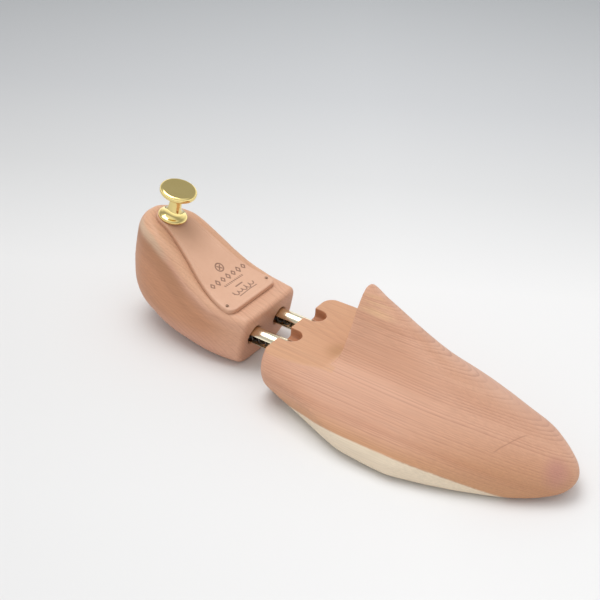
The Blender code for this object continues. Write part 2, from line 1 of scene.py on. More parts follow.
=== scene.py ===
"""The looks of a sprung cedar shoe tree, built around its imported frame.

Lengths in the shape lists are millimetres from the back of the heel (X), from the tubes' centre
plane (Y, inner side positive) and from the ground (Z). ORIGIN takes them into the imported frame.
"""

import math

import bmesh
import bpy
import numpy as np
from mathutils import Matrix, Vector


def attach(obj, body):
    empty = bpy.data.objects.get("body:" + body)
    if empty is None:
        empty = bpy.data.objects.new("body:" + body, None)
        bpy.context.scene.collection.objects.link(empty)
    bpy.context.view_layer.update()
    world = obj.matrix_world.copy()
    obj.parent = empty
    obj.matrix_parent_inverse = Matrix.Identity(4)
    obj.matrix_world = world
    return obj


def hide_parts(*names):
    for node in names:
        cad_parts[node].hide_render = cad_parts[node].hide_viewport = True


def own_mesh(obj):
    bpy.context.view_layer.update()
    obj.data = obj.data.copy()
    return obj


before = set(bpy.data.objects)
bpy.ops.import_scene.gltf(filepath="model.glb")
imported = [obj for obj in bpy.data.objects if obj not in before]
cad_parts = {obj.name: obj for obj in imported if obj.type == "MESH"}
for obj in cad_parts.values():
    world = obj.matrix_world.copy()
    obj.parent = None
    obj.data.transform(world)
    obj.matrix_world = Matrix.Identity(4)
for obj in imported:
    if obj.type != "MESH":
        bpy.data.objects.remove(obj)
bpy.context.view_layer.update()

MM = 0.001
LENGTH = 285
ORIGIN = Vector((-142.5, 6.75, 0))
TUBES = {"lateral": -12.5, "medial": 12.5}
TACKS = {"lateral": -20.8, "medial": 17.4}
TACK_X = 77.4
TUBE_HEIGHT = 18.5
TUBE_BACK = 66
TUBE_FRONT = 158
TUBE_RADIUS = 5.0
TUBE_WALL = 0.8
SLOT_RADIUS = 2.25
SLOT_FRONT = 110
GAP = 0.3                       # clearance between neighbouring pieces
CROSS_PIN_X = 80
CROSS_PIN_RADIUS = 1.75
FIXING_PIN_X = 146
FIXING_HOLE_RADIUS = 1.55
PLUG_BACK = 142.5
KNOB_X = 21.7
KNOB_TILT = math.radians(13)
GROOVE_SHIFT = -1.2             # the finger grooves sit this far from the tubes' axes
GROOVE_RADIUS = 6.1
GROOVE_FRONT = 122.4


# ---- smooth lists -----------------------------------------------------------------------------
def curve(points, x):
    """A smooth value at x through (x, value) points, by a cubic with clipped slopes."""
    xs = [p[0] for p in points]
    vs = [p[1] for p in points]
    if x <= xs[0]:
        return vs[0]
    if x >= xs[-1]:
        return vs[-1]
    gaps = [b - a for a, b in zip(xs, xs[1:])]
    rises = [(b - a) / g for a, b, g in zip(vs, vs[1:], gaps)]
    slopes = [rises[0]]
    for before, after in zip(rises, rises[1:]):
        slopes.append(0 if before * after <= 0 else 2 * before * after / (before + after))
    slopes.append(rises[-1])
    i = min(max(k for k, start in enumerate(xs) if start <= x), len(gaps) - 1)
    t = (x - xs[i]) / gaps[i]
    return ((2 * t**3 - 3 * t**2 + 1) * vs[i] + (t**3 - 2 * t**2 + t) * gaps[i] * slopes[i]
            + (3 * t**2 - 2 * t**3) * vs[i + 1] + (t**3 - t**2) * gaps[i] * slopes[i + 1])


def from_tip(points, x):
    """Like curve, but spaced by the root of the distance to the toe tip, so the tip is round."""
    spaced = sorted((math.sqrt(LENGTH - px), value) for px, value in points)
    return curve(spaced, math.sqrt(max(LENGTH - x, 0)))


def from_heel(points, x):
    """Like curve, but spaced by the root of the distance to the heel's back, so that is round."""
    spaced = [(math.sqrt(px), value) for px, value in points]
    return curve(spaced, math.sqrt(max(x, 0)))


def arc(centre, radius, start, end, steps):
    points = []
    for i in range(steps + 1):
        angle = math.radians(start + (end - start) * i / steps)
        points.append((centre[0] + radius * math.cos(angle), centre[1] + radius * math.sin(angle)))
    return points


def smoothstep(low, high, value):
    t = np.clip((value - low) / (high - low), 0, 1)
    return t * t * (3 - 2 * t)


# ---- mesh tools -------------------------------------------------------------------------------
def new_object(name, points, faces, shift=True):
    """An object from points in mm and faces."""
    offset = ORIGIN if shift else Vector((0, 0, 0))
    data = bpy.data.meshes.new(name)
    data.from_pydata([((Vector(p) + offset) * MM)[:] for p in points], [], faces)
    mesh = bmesh.new()
    mesh.from_mesh(data)
    bmesh.ops.recalc_face_normals(mesh, faces=mesh.faces)
    mesh.to_mesh(data)
    mesh.free()
    obj = bpy.data.objects.new(name, data)
    bpy.context.scene.collection.objects.link(obj)
    return obj


def loft(name, rings, poles=(None, None)):
    """A closed solid through rings of equally many points, in mm."""
    count = len(rings[0])
    points = [p for ring in rings for p in ring]
    faces = []
    for r in range(len(rings) - 1):
        a = r * count
        b = a + count
        faces += [(a + i, a + (i + 1) % count, b + (i + 1) % count, b + i) for i in range(count)]
    for start, pole in ((0, poles[0]), (len(points) - count, poles[1])):
        if pole is None:
            faces.append(tuple(range(start, start + count)))
        else:
            faces += [(start + i, start + (i + 1) % count, len(points)) for i in range(count)]
            points.append(pole)
    return new_object(name, points, faces)


def turned(name, outline, steps=64, closed=False):
    """A solid turned about Z from (radius, height) points in mm; a closed outline makes a pipe."""
    points, rows, faces = [], [], []
    for radius, height in outline:
        if radius == 0:
            rows.append([len(points)])
            points.append((0, 0, height))
            continue
        rows.append(list(range(len(points), len(points) + steps)))
        for i in range(steps):
            angle = 2 * math.pi * i / steps
            points.append((radius * math.cos(angle), radius * math.sin(angle), height))
    following_rows = rows[1:] + (rows[:1] if closed else [])
    for row, following in zip(rows, following_rows):
        for i in range(steps):
            j = (i + 1) % steps
            if len(row) == 1:
                faces.append((row[0], following[j], following[i]))
            elif len(following) == 1:
                faces.append((row[i], row[j], following[0]))
            else:
                faces.append((row[i], row[j], following[j], following[i]))
    if not closed:
        faces += [tuple(row) for row in (rows[0], rows[-1]) if len(row) > 1]
    return new_object(name, points, faces, shift=False)


def along(obj, start, end):
    """Puts a turned object's Z axis on the line from start to end, in mm."""
    first = (Vector(start) + ORIGIN) * MM
    last = (Vector(end) + ORIGIN) * MM
    turn = (last - first).normalized().to_track_quat("Z", "Y").to_matrix().to_4x4()
    obj.data.transform(Matrix.Translation(first) @ turn)
    return obj


def rod(name, radius, start, end, steps=64):
    length = (Vector(end) - Vector(start)).length
    return along(turned(name, [(radius, 0), (radius, length)], steps), start, end)


def change(obj, kind, **settings):
    modifier = obj.modifiers.new(kind.lower(), kind)
    for key, value in settings.items():
        setattr(modifier, key, value)
    return modifier


def applied(obj):
    """Makes the modifiers' result the object's own mesh."""
    graph = bpy.context.evaluated_depsgraph_get()
    data = bpy.data.meshes.new_from_object(obj.evaluated_get(graph))
    obj.modifiers.clear()
    obj.data = data
    return obj


def cut(obj, *cutters):
    for cutter in cutters:
        change(obj, "BOOLEAN", operation="DIFFERENCE", object=cutter, solver="EXACT")
    applied(obj)
    for cutter in cutters:
        bpy.data.objects.remove(cutter)
    return obj


def sanded(obj, voxel, rounds):
    """Remeshes a cut block evenly and sands its edges round."""
    change(obj, "REMESH", mode="VOXEL", voxel_size=voxel * MM)
    change(obj, "SMOOTH", factor=0.5, iterations=rounds)
    applied(obj)
    return obj


def smooth(obj, angle=None):
    obj.data.shade_smooth()
    if angle is not None:
        obj.data.set_sharp_from_angle(angle=math.radians(angle))
    return obj


def piece(obj, material, body, slot, *nodes):
    obj.data.materials.clear()
    obj.data.materials.append(material)
    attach(obj, body)
    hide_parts(*nodes)
    return obj


# ---- materials --------------------------------------------------------------------------------
class Graph:
    """A short way to write a material's nodes. Coordinates are object ones, in mm."""

    def __init__(self, name, roughness=0.5, metallic=0.0):
        self.material = bpy.data.materials.new(name)
        self.material.use_nodes = True
        self.tree = self.material.node_tree
        self.shader = self.tree.nodes["Principled BSDF"]
        self.shader.inputs["Roughness"].default_value = roughness
        self.shader.inputs["Metallic"].default_value = metallic
        place = self.add("ShaderNodeTexCoord").outputs["Object"]
        self.place = self.vector("MULTIPLY", place, (1000, 1000, 1000))
        parts = self.add("ShaderNodeSeparateXYZ", {0: self.place})
        self.x, self.y, self.z = parts.outputs

    def add(self, kind, inputs=None, **settings):
        node = self.tree.nodes.new(kind)
        for key, value in settings.items():
            setattr(node, key, value)
        for key, value in (inputs or {}).items():
            if isinstance(value, bpy.types.NodeSocket):
                self.tree.links.new(value, node.inputs[key])
            else:
                node.inputs[key].default_value = value
        return node

    def math(self, operation, a, b=0.0, clamp=False):
        node = self.add("ShaderNodeMath", {0: a, 1: b}, operation=operation, use_clamp=clamp)
        return node.outputs[0]

    def vector(self, operation, a, b):
        return self.add("ShaderNodeVectorMath", {0: a, 1: b}, operation=operation).outputs[0]

    def noise(self, stretch, detail=2.0, rough=0.5, shift=0.0):
        """Noise from 0 to 1 that changes over 1/stretch mm along each axis."""
        place = self.vector("MULTIPLY", self.place, stretch)
        place = self.vector("ADD", place, (shift, shift * 0.7, -shift))
        inputs = {"Vector": place, "Scale": 1.0, "Detail": detail, "Roughness": rough}
        return self.add("ShaderNodeTexNoise", inputs).outputs[0]

    def line_noise(self, value, scale, detail=0.0):
        node = self.add("ShaderNodeTexNoise", {"W": value, "Scale": scale, "Detail": detail},
                        noise_dimensions="1D")
        return node.outputs[0]

    def steps(self, value, low, high, out_low=0.0, out_high=1.0):
        inputs = {0: value, 1: low, 2: high, 3: out_low, 4: out_high}
        return self.add("ShaderNodeMapRange", inputs, interpolation_type="SMOOTHSTEP").outputs[0]

    def falls(self, value, low, high):
        """1 below low, 0 above high."""
        return self.steps(value, low, high, 1.0, 0.0)

    def spread(self, value, out_low, out_high, low=0.25, high=0.75):
        inputs = {0: value, 1: low, 2: high, 3: out_low, 4: out_high}
        return self.add("ShaderNodeMapRange", inputs).outputs[0]

    def hypot(self, a, b):
        squares = [self.math("MULTIPLY", side, side) for side in (a, b)]
        return self.math("SQRT", self.math("ADD", *squares))

    def ramp(self, value, *stops):
        """A colour or grey ramp from (place, value) stops."""
        node = self.add("ShaderNodeValToRGB", {0: value})
        elements = node.color_ramp.elements
        while len(elements) < len(stops):
            elements.new(0.5)
        for element, (where, colour) in zip(elements, stops):
            element.position = where
            element.color = (*colour, 1) if isinstance(colour, tuple) else (colour, colour, colour, 1)
        return node.outputs[0]

    def mix(self, share, a, b, blend="MIX"):
        node = self.add("ShaderNodeMix", data_type="RGBA", blend_type=blend)
        for key, value in ((0, share), (6, a), (7, b)):
            if isinstance(value, bpy.types.NodeSocket):
                self.tree.links.new(value, node.inputs[key])
            elif isinstance(value, tuple):
                node.inputs[key].default_value = (*value, 1)
            else:
                node.inputs[key].default_value = value
        return node.outputs[2]

    def spot(self, centre, radii, soft=0.9):
        """1 inside an ellipsoid about a point in mm, fading to 0 at its edge."""
        away = self.vector("SUBTRACT", self.place, tuple(Vector(centre) + ORIGIN))
        away = self.vector("DIVIDE", away, radii)
        length = self.add("ShaderNodeVectorMath", {0: away}, operation="LENGTH").outputs["Value"]
        return self.falls(length, 1 - soft, 1.0)

    def product(self, *masks):
        """All masks multiplied together, from left to right."""
        result = masks[0]
        for mask in masks[1:]:
            result = self.math("MULTIPLY", result, mask)
        return result

    def tint(self, colour, mask, share, target):
        """The colour moved towards the target where the mask is 1, by the share."""
        return self.mix(self.math("MULTIPLY", mask, share), colour, target)

    def shaded(self, colour, shade):
        """The colour multiplied by a grey."""
        grey = self.add("ShaderNodeCombineColor", {0: shade, 1: shade, 2: shade}).outputs[0]
        return self.mix(1.0, colour, grey, "MULTIPLY")

    def finish(self, colour, roughness, height, distance, strength):
        """Joins colour, roughness and bump to the shader; distance is the bump's height in metres."""
        self.tree.links.new(colour, self.shader.inputs["Base Color"])
        if roughness is not None:
            self.tree.links.new(roughness, self.shader.inputs["Roughness"])
        bump = self.add("ShaderNodeBump", {"Height": height, "Distance": distance, "Strength": strength})
        self.tree.links.new(bump.outputs[0], self.shader.inputs["Normal"])
        return self.material


def rings_about(g, pith_y, pith_z, lean_y, lean_z, wave, ripple):
    """Distance from a leaning pith line in mm, with the log's slow waves in it."""
    y = g.math("SUBTRACT", g.y, g.math("MULTIPLY", g.x, lean_y))
    y = g.math("SUBTRACT", y, pith_y)
    z = g.math("SUBTRACT", g.z, g.math("MULTIPLY", g.x, lean_z))
    z = g.math("SUBTRACT", z, pith_z)
    slow = g.math("SUBTRACT", g.noise((0.010, 0.03, 0.03), 1.0), 0.5)
    quick = g.math("SUBTRACT", g.noise((0.035, 0.14, 0.14), 2.0, shift=7), 0.5)
    bend = g.math("ADD", g.math("MULTIPLY", slow, wave), g.math("MULTIPLY", quick, ripple))
    return g.math("ADD", g.hypot(y, z), bend)


def cedar(name, radius_of, colours, sap_radius, spacing, extras):
    """Cedar: salmon heartwood with thin reddish growth lines, and pale sapwood past sap_radius.

    Radii and the lines' spacing are in mm. extras adds a block's own patches, with some painted
    shade among them, to the colour and says how strongly its growth lines show.
    """
    g = Graph(name)
    pale, base, deep, line, sap, band = colours
    radius = radius_of(g)
    uneven = g.math("MULTIPLY", g.math("SUBTRACT", g.line_noise(radius, 0.16, 1.0), 0.5), 2.4)
    count = g.math("DIVIDE", g.math("ADD", radius, uneven), spacing)
    year = g.math("FRACT", count)
    late = g.ramp(year, (0, 0.0), (0.35, 0.10), (0.72, 0.65), (0.86, 1.0), (0.94, 0.85), (1, 0.0))
    which = g.math("FLOOR", count)
    white = g.add("ShaderNodeTexWhiteNoise", {"W": which}, noise_dimensions="1D").outputs["Value"]
    strength = g.steps(white, 0.0, 1.0, 0.35, 1.0)
    broken = g.spread(g.noise((0.03, 0.25, 0.25), 2.0, shift=3), 0.45, 1.15)
    lines = g.math("MULTIPLY", g.math("MULTIPLY", late, strength), broken, clamp=True)

    fibre = g.noise((0.030, 1.5, 1.5), 3.0, 0.6, shift=11)
    streak = g.noise((0.008, 0.22, 0.22), 3.0, 0.55, shift=5)
    cloud = g.noise((0.014, 0.030, 0.030), 2.0, 0.5, shift=19)
    bands = g.line_noise(radius, 0.11, 2.0)

    colour = g.mix(g.spread(cloud, 0, 1), base, pale)
    colour = g.mix(g.spread(bands, 0, 0.75, 0.35, 0.75), colour, deep)
    colour = g.mix(g.spread(streak, 0, 0.35, 0.42, 0.72), colour, deep)
    colour, line_share = extras(g, colour, radius)
    near_sap = g.steps(radius, sap_radius - 9, sap_radius - 0.5, 0, 0.8)
    colour = g.mix(near_sap, colour, band)
    colour = g.mix(g.math("MULTIPLY", lines, line_share), colour, line)
    edge = g.math("ADD", radius, g.math("MULTIPLY", g.math("SUBTRACT", fibre, 0.5), 0.8))
    in_sap = g.steps(edge, sap_radius - 0.5, sap_radius + 0.7)
    sap_colour = g.mix(g.math("MULTIPLY", lines, 0.16), sap, band)
    colour = g.mix(in_sap, colour, sap_colour)
    colour = g.shaded(colour, g.spread(fibre, 0.90, 1.08))
    height = g.math("ADD", g.math("MULTIPLY", fibre, 0.6), g.math("MULTIPLY", lines, 0.4))
    rough = g.spread(g.math("ADD", fibre, g.math("MULTIPLY", lines, -0.2)), 0.42, 0.56)
    g.shader.inputs["Specular IOR Level"].default_value = 0.35
    return g.finish(colour, rough, height, 0.00006, 0.5)


def forepart_rings(g):
    return rings_about(g, 61.1, 220.0, 0.2508, -0.1325, 3.0, 0.5)


def forepart_extras(g, colour, radius):
    toe = g.product(g.steps(g.x, 40, 125), g.steps(radius, 200, 226))
    colour = g.tint(colour, toe, 0.85, (0.50, 0.25, 0.125))
    colour = g.tint(colour, g.spot((276, -15, 16), (10, 12, 13)), 0.60, (0.46, 0.21, 0.185))
    shelf = g.product(g.falls(g.z, 30.6, 31.6), g.steps(g.z, 29.2, 29.8), g.falls(g.x, 9.5, 10.5))
    colour = g.tint(colour, shelf, 0.60, (0.60, 0.325, 0.170))
    streaks = g.spread(g.line_noise(radius, 0.30, 1.0), 0, 1, 0.38, 0.62)
    peak = g.product(g.spot((161, -2, 60), (16, 9, 15)), streaks)
    colour = g.tint(colour, peak, 0.80, (0.69, 0.43, 0.25))
    # painted shade: darker brown in the crease where the shelf meets the instep wall
    colour = g.tint(colour, g.spot((145, -11, 31), (10, 11, 9)), 0.85, (0.47, 0.25, 0.12))
    # painted shade inside the finger grooves, on top of the darker colour of their cut wood
    for side in TUBES.values():
        centre = GROOVE_FRONT - GROOVE_RADIUS + ORIGIN.x
        ahead = g.math("MAXIMUM", g.math("SUBTRACT", g.x, centre), 0.0)
        aside = g.math("SUBTRACT", g.y, side + GROOVE_SHIFT + ORIGIN.y)
        groove = g.product(g.falls(g.hypot(ahead, aside), 6.25, 6.6), g.falls(g.z, 29.3, 29.75),
                           g.steps(g.z, 23.6, 24.0), g.steps(g.x, -30.9, -30.4))
        colour = g.tint(colour, groove, 0.9, (0.42, 0.165, 0.070))
    # a hairline scratch across the toe
    off = g.math("SUBTRACT", g.math("MULTIPLY", g.x, 0.901), g.math("MULTIPLY", g.y, 0.434))
    wobble = g.math("MULTIPLY", g.noise((0.1, 0.1, 0.1), 1.0), 1.2)
    off = g.math("ADD", g.math("SUBTRACT", off, 103.9), wobble)
    scratch = g.product(g.falls(g.math("ABSOLUTE", off), 0.10, 0.42), g.steps(g.z, 14, 16),
                        g.steps(g.y, -23, -20), g.falls(g.y, -5, -1))
    colour = g.tint(colour, scratch, 0.45, (0.33, 0.15, 0.09))
    # the shelf's grain is fine and straight, and the medial slope's lines are strong
    straight = g.product(g.steps(g.noise((0.004, 1.1, 0.2), 2.0, shift=41), 0.50, 0.66), shelf)
    colour = g.tint(colour, straight, 0.20, (0.42, 0.19, 0.10))
    share = g.math("SUBTRACT", 0.50, g.math("MULTIPLY", shelf, 0.30))
    slope = g.spot((212, 8, 38), (34, 17, 17))
    return colour, g.math("ADD", share, g.math("MULTIPLY", slope, 0.38))


def heel_rings(g):
    return rings_about(g, 75.0, 60.0, 0.05, -0.55, 9.0, 1.6)


def heel_extras(g, colour, radius):
    # below is the depth in mm under the block's top edge, which this ramp follows
    place = g.spread(g.x, 0, 1, -142.5, -42.5)
    top = g.ramp(place, (0.0, 0.41), (0.035, 0.602), (0.08, 0.652), (0.23, 0.619), (0.36, 0.55),
                 (0.52, 0.436), (0.68, 0.355), (0.84, 0.333), (1.0, 0.332))
    below = g.math("SUBTRACT", g.math("MULTIPLY", top, 100.0), g.z)
    across = g.math("ADD", below, g.math("MULTIPLY", g.x, 0.10))
    drift = g.math("MULTIPLY", g.noise((0.02, 0.05, 0.05), 2.0, shift=31), 9)
    streak = g.line_noise(g.math("ADD", across, drift), 0.16, 2.0)
    colour = g.tint(colour, g.steps(below, 3.0, 11.0), 0.80, (0.485, 0.225, 0.112))
    colour = g.mix(g.spread(streak, 0, 0.60, 0.46, 0.72), colour, (0.40, 0.185, 0.10))
    colour = g.tint(colour, g.falls(below, 0.5, 5.0), 0.70, (0.66, 0.385, 0.235))
    colour = g.tint(colour, g.falls(g.z, 8, 24), 0.6, (0.62, 0.345, 0.255))
    colour = g.tint(colour, g.steps(g.x, -78, -52), 0.72, (0.66, 0.375, 0.25))
    shoulder = g.product(g.steps(below, 1.0, 3.0), g.falls(below, 5.5, 9.5), g.falls(g.x, -118, -102),
                         g.falls(g.y, -6, 2))
    colour = g.tint(colour, shoulder, 0.62, (0.55, 0.41, 0.28))
    # painted shade: a dark band down the heel's side just under its rounded top edge, towards the back
    band = g.product(g.steps(below, 4.5, 8.0), g.falls(below, 11.0, 19.0), g.falls(g.x, -104, -80))
    return g.tint(colour, band, 0.58, (0.36, 0.17, 0.085)), 0.30


# ---- the forepart -----------------------------------------------------------------------------
# Each list gives a value in mm at places along the tree. RIDGE is the hump over the instep,
# TUCK how far the sole's edge draws in, and POWER how square a section is.
FOREPART_HALF_WIDTH = [(112, 36.6), (125, 38.3), (140, 41), (150, 43.4), (160, 45.8), (176, 48.4),
                       (200, 48.8), (214, 46), (230, 40.9), (245, 34.8), (260, 27.8), (269, 21.8),
                       (276, 15.8), (281, 10.6), (284, 5.2), (285, 0)]
FOREPART_CENTRE = [(112, -4), (125, -4.8), (140, -5.2), (150, -5.6), (160, -6.4), (176, -7),
                   (200, -6.6), (214, -6), (230, -5.6), (245, -5.2), (260, -5), (272, -5.6),
                   (285, -7)]
WIDEST_HEIGHT = [(112, 20), (150, 17), (175, 11.5), (200, 9), (240, 8.5), (275, 9), (285, 10)]
BODY_TOP = [(112, 39), (130, 35.5), (150, 32.6), (178, 34.5), (203, 33.5), (228, 30.5), (253, 26),
            (265, 23), (275, 19.6), (282, 15.4), (285, 10)]
SOLE = [(112, 8), (125, 4.4), (140, 1.2), (152, 0), (240, 0), (255, 0.4), (268, 1.6), (277, 3.4),
        (283, 6.2), (285, 10)]
RIDGE_HEIGHT = [(112, 36), (151, 35.6), (160, 30.8), (170, 25.4), (180, 20), (195, 13.8), (210, 9.2),
                (225, 5.6), (240, 2.8), (255, 1), (270, 0), (285, 0)]
RIDGE_CENTRE = [(112, 5.2), (151, 5.2), (178, 4), (203, 0), (228, -3), (285, -6)]
RIDGE_WIDTH_LATERAL = [(112, 18), (151, 18), (162, 17.5), (175, 17.5), (195, 20), (225, 24),
                       (285, 25)]
RIDGE_WIDTH_MEDIAL = [(112, 21), (151, 21), (162, 22), (175, 23), (195, 25.2), (225, 26), (285, 26)]
MEDIAL_TUCK = [(112, 11), (160, 12), (185, 7), (210, 3.5), (285, 2)]
LATERAL_TUCK = [(112, 5), (150, 4), (175, 2), (200, 1), (285, 1)]
BODY_POWER_MEDIAL = [(112, 4.2), (130, 3.4), (150, 2.4), (175, 1.95), (200, 1.8), (240, 1.75),
                     (265, 2), (285, 2)]
BODY_POWER_LATERAL = [(112, 2.25), (130, 2), (150, 1.75), (175, 1.5), (200, 1.5), (225, 1.75),
                      (250, 2.1), (285, 2.2)]
FOREPART_BACK = 112
BACK_CORNER = 7
WALL_X = 151
SHELF_TOP = 30


def forepart_ring(x, count):
    half = from_tip(FOREPART_HALF_WIDTH, x)
    into = BACK_CORNER - (x - FOREPART_BACK)
    if into > 0:
        half -= BACK_CORNER - math.sqrt(BACK_CORNER**2 - into**2)
    centre = from_tip(FOREPART_CENTRE, x)
    widest = from_tip(WIDEST_HEIGHT, x)
    body = from_tip(BODY_TOP, x) - widest
    sole = widest - from_tip(SOLE, x)
    ridge = from_tip(RIDGE_HEIGHT, x)
    ridge_y = from_tip(RIDGE_CENTRE, x)
    ridge_widths = (from_tip(RIDGE_WIDTH_MEDIAL, x), from_tip(RIDGE_WIDTH_LATERAL, x))
    powers = (from_tip(BODY_POWER_MEDIAL, x), from_tip(BODY_POWER_LATERAL, x))
    tucks = (from_tip(MEDIAL_TUCK, x), from_tip(LATERAL_TUCK, x))
    ring = []
    for i in range(count):
        angle = 2 * math.pi * i / count
        side = math.cos(angle)
        rise = math.sin(angle)
        lateral = side < 0
        if rise >= 0:
            exponent = 2 / powers[lateral]
            y = centre + half * math.copysign(abs(side) ** exponent, side)
            away = abs(y - ridge_y) / ridge_widths[y < ridge_y]
            z = widest + body * rise**exponent + ridge * math.exp(-(away**2.3)) * rise
        else:
            exponent = 2 / (5.5 if lateral else 3.4)
            drop = (-rise) ** exponent
            reach = half - tucks[lateral] * drop**1.5
            y = centre + reach * math.copysign(abs(side) ** exponent, side)
            z = widest - sole * min(1, 1.06 * drop)
        ring.append((x, y, z))
    return ring


def make_forepart(material):
    steps = 130
    first = FOREPART_BACK + BACK_CORNER
    stations = [FOREPART_BACK + BACK_CORNER * (i / 14) ** 1.6 for i in range(14)]
    root = math.sqrt(LENGTH - first)
    stations += [LENGTH - (root * (1 - i / steps)) ** 2 for i in range(steps - 3)]
    tip = (LENGTH, from_tip(FOREPART_CENTRE, LENGTH), from_tip(BODY_TOP, LENGTH))
    block = loft("cedar_forepart", [forepart_ring(x, 220) for x in stations], (None, tip))

    fillet = 5
    outline = [(FOREPART_BACK - 20, SHELF_TOP)]
    outline += arc((WALL_X - fillet, SHELF_TOP + fillet), fillet, -90, 0, 16)
    outline += [(WALL_X, 90), (FOREPART_BACK - 20, 90)]
    cutters = [loft("step", [[(x, side, z) for x, z in outline] for side in (-70, 70)])]
    for side, y in TUBES.items():
        cutters.append(rod(f"bore_{side}", TUBE_RADIUS + GAP, (FOREPART_BACK - 5, y, TUBE_HEIGHT),
                           (TUBE_FRONT + GAP, y, TUBE_HEIGHT)))
        cutters.append(rod(f"pin_hole_{side}", FIXING_HOLE_RADIUS, (FIXING_PIN_X, y, -5),
                           (FIXING_PIN_X, y, 24.5), 32))
        cutters.append(scoop(f"scoop_{side}", y + GROOVE_SHIFT))
    foot = Vector((153.5, 6.5, SHELF_TOP))
    lean = Vector((math.sin(math.radians(52)), 0, -math.cos(math.radians(52))))
    cutters.append(rod("vent", 6.2, foot - lean * 30, foot + lean * 5, 96))
    cut(block, *cutters)
    sanded(block, 0.74, 3)
    smooth(block)
    return piece(block, material, "forepart", "cedar_forepart", "forepart_block")


def scoop(name, y):
    """A finger groove with a round bottom and a round front end."""
    radius, depth = GROOVE_RADIUS, 6
    centre = GROOVE_FRONT - radius
    rings = []
    levels = [(0, 0.80), (0.1, 0.87), (0.35, 0.94), (0.7, 0.985), (1, 1), (depth + 6, 1)]
    for rise, share in levels:
        r = radius * share
        ring = [(centre + dx, dy) for dx, dy in arc((0, 0), r, -90, 90, 32)]
        ring += [(FOREPART_BACK - 5, r), (FOREPART_BACK - 5, -r)]
        rings.append([(px, py + y, SHELF_TOP - depth + rise) for px, py in ring])
    return loft(name, rings)


# ---- the heel ---------------------------------------------------------------------------------
# HALF is the half width at the bulge, TOP at the upper edge, and FOOT the radius under the heel.
HEEL_TOP = [(0, 41), (0.6, 47.3), (1.8, 54), (3.5, 60.2), (5.5, 64), (8, 65.2), (10.5, 65.1),
            (13, 64.5), (18, 63.2), (23, 61.9), (29, 59.2), (36, 55), (44, 49.4), (52, 43.6),
            (60, 38.7), (68, 35.5), (76, 33.8), (84, 33.3), (94, 33.2)]
HEEL_BOTTOM = [(0, 41), (0.6, 33), (1.8, 26.5), (4, 20), (8, 13), (13, 8.3), (20, 4.4), (28, 1.8),
               (36, 0.5), (43, 0), (94, 0)]
HEEL_HALF_MEDIAL = [(0, 0), (1, 6.6), (3, 11.4), (6, 15.8), (10, 19.4), (16, 23), (24, 26),
                    (36, 28.4), (50, 29.4), (65, 29.6), (80, 28.6), (94, 26.2)]
HEEL_HALF_LATERAL = [(0, 0), (1, 6), (3, 10.4), (6, 14.2), (10, 17.8), (16, 21.8), (24, 25.2),
                     (36, 28), (50, 29), (65, 28.8), (80, 27), (94, 24.2)]
HEEL_TOP_MEDIAL = [(0, 0), (1, 3.6), (3, 6.8), (6, 10), (10, 13.6), (16, 17), (24, 19.2), (36, 21),
                   (48, 23.4), (60, 26.2), (71, 27.6), (80, 27.2), (94, 25.4)]
HEEL_TOP_LATERAL = [(0, 0), (1, 3), (3, 5.6), (6, 8.8), (10, 12.6), (16, 16.4), (24, 18.6),
                    (36, 20.6), (48, 22.8), (62, 24.4), (80, 24.5), (94, 23.2)]
HEEL_FOOT_MEDIAL = [(0, 26), (12, 26), (24, 26), (52, 26), (76, 23.5), (94, 19)]
HEEL_FOOT_LATERAL = [(0, 24), (12, 25), (28, 24.5), (44, 21), (62, 15.5), (78, 12), (94, 10)]
HEEL_MEDIAL = (HEEL_HALF_MEDIAL, HEEL_TOP_MEDIAL, HEEL_FOOT_MEDIAL)
HEEL_LATERAL = (HEEL_HALF_LATERAL, HEEL_TOP_LATERAL, HEEL_FOOT_LATERAL)
HEEL_TOP_ROUND = [(0, 8), (8, 8), (13, 7), (18, 5.8), (26, 4.5), (94, 4.5)]
HEEL_BULGE = 0.42
HEEL_FRONT = 94
HEEL_FRONT_ROUND = 3.2
HEEL_FRONT_RAKE = 0.17
RAKE_START = 50


def heel_side(x, inset, lists):
    """Half of a section of the heel, from its top centre out and down to its bottom centre."""
    top = from_heel(HEEL_TOP, x) - inset
    bottom = from_heel(HEEL_BOTTOM, x) + inset
    height = top - bottom
    widest = from_heel(lists[0], x) - inset
    narrowest = from_heel(lists[1], x) - inset
    top_radius = min(curve(HEEL_TOP_ROUND, x), 0.9 * narrowest, 0.3 * height)
    foot_radius = min(curve(lists[2], x), 0.96 * widest, 0.55 * height)

    def width(z):
        share = (z - bottom) / height
        if share < HEEL_BULGE:
            return widest
        return widest - (widest - narrowest) * ((share - HEEL_BULGE) / (1 - HEEL_BULGE)) ** 1.4

    side = [((narrowest - top_radius) * (i / 12), top) for i in range(12)]
    for dy, dz in arc((0, 0), top_radius, 90, 0, 16):
        z = top - top_radius + dz
        side.append((width(z) - top_radius + dy if dz > 0 else width(z), z))
    low = bottom + foot_radius
    high = top - top_radius
    for i in range(1, 20):
        z = high + (low - high) * i / 20
        side.append((width(z), z))
    for dy, dz in arc((0, 0), foot_radius, 0, -90, 28):
        side.append((min(width(low), widest) - foot_radius + dy, low + dz))
    side += [((widest - foot_radius) * (1 - i / 6), bottom) for i in range(1, 6)]
    side.append((0, bottom))
    return side


def heel_ring(x, inset=0.0):
    medial = heel_side(x, inset, HEEL_MEDIAL)
    lateral = heel_side(x, inset, HEEL_LATERAL)
    outline = medial + [(-y, z) for y, z in reversed(lateral[1:-1])]
    rake = HEEL_FRONT_RAKE * (max(0, x - RAKE_START) / (HEEL_FRONT - RAKE_START)) ** 2
    top = from_heel(HEEL_TOP, x)
    return [(x - rake * (top - z), y, z) for y, z in outline]


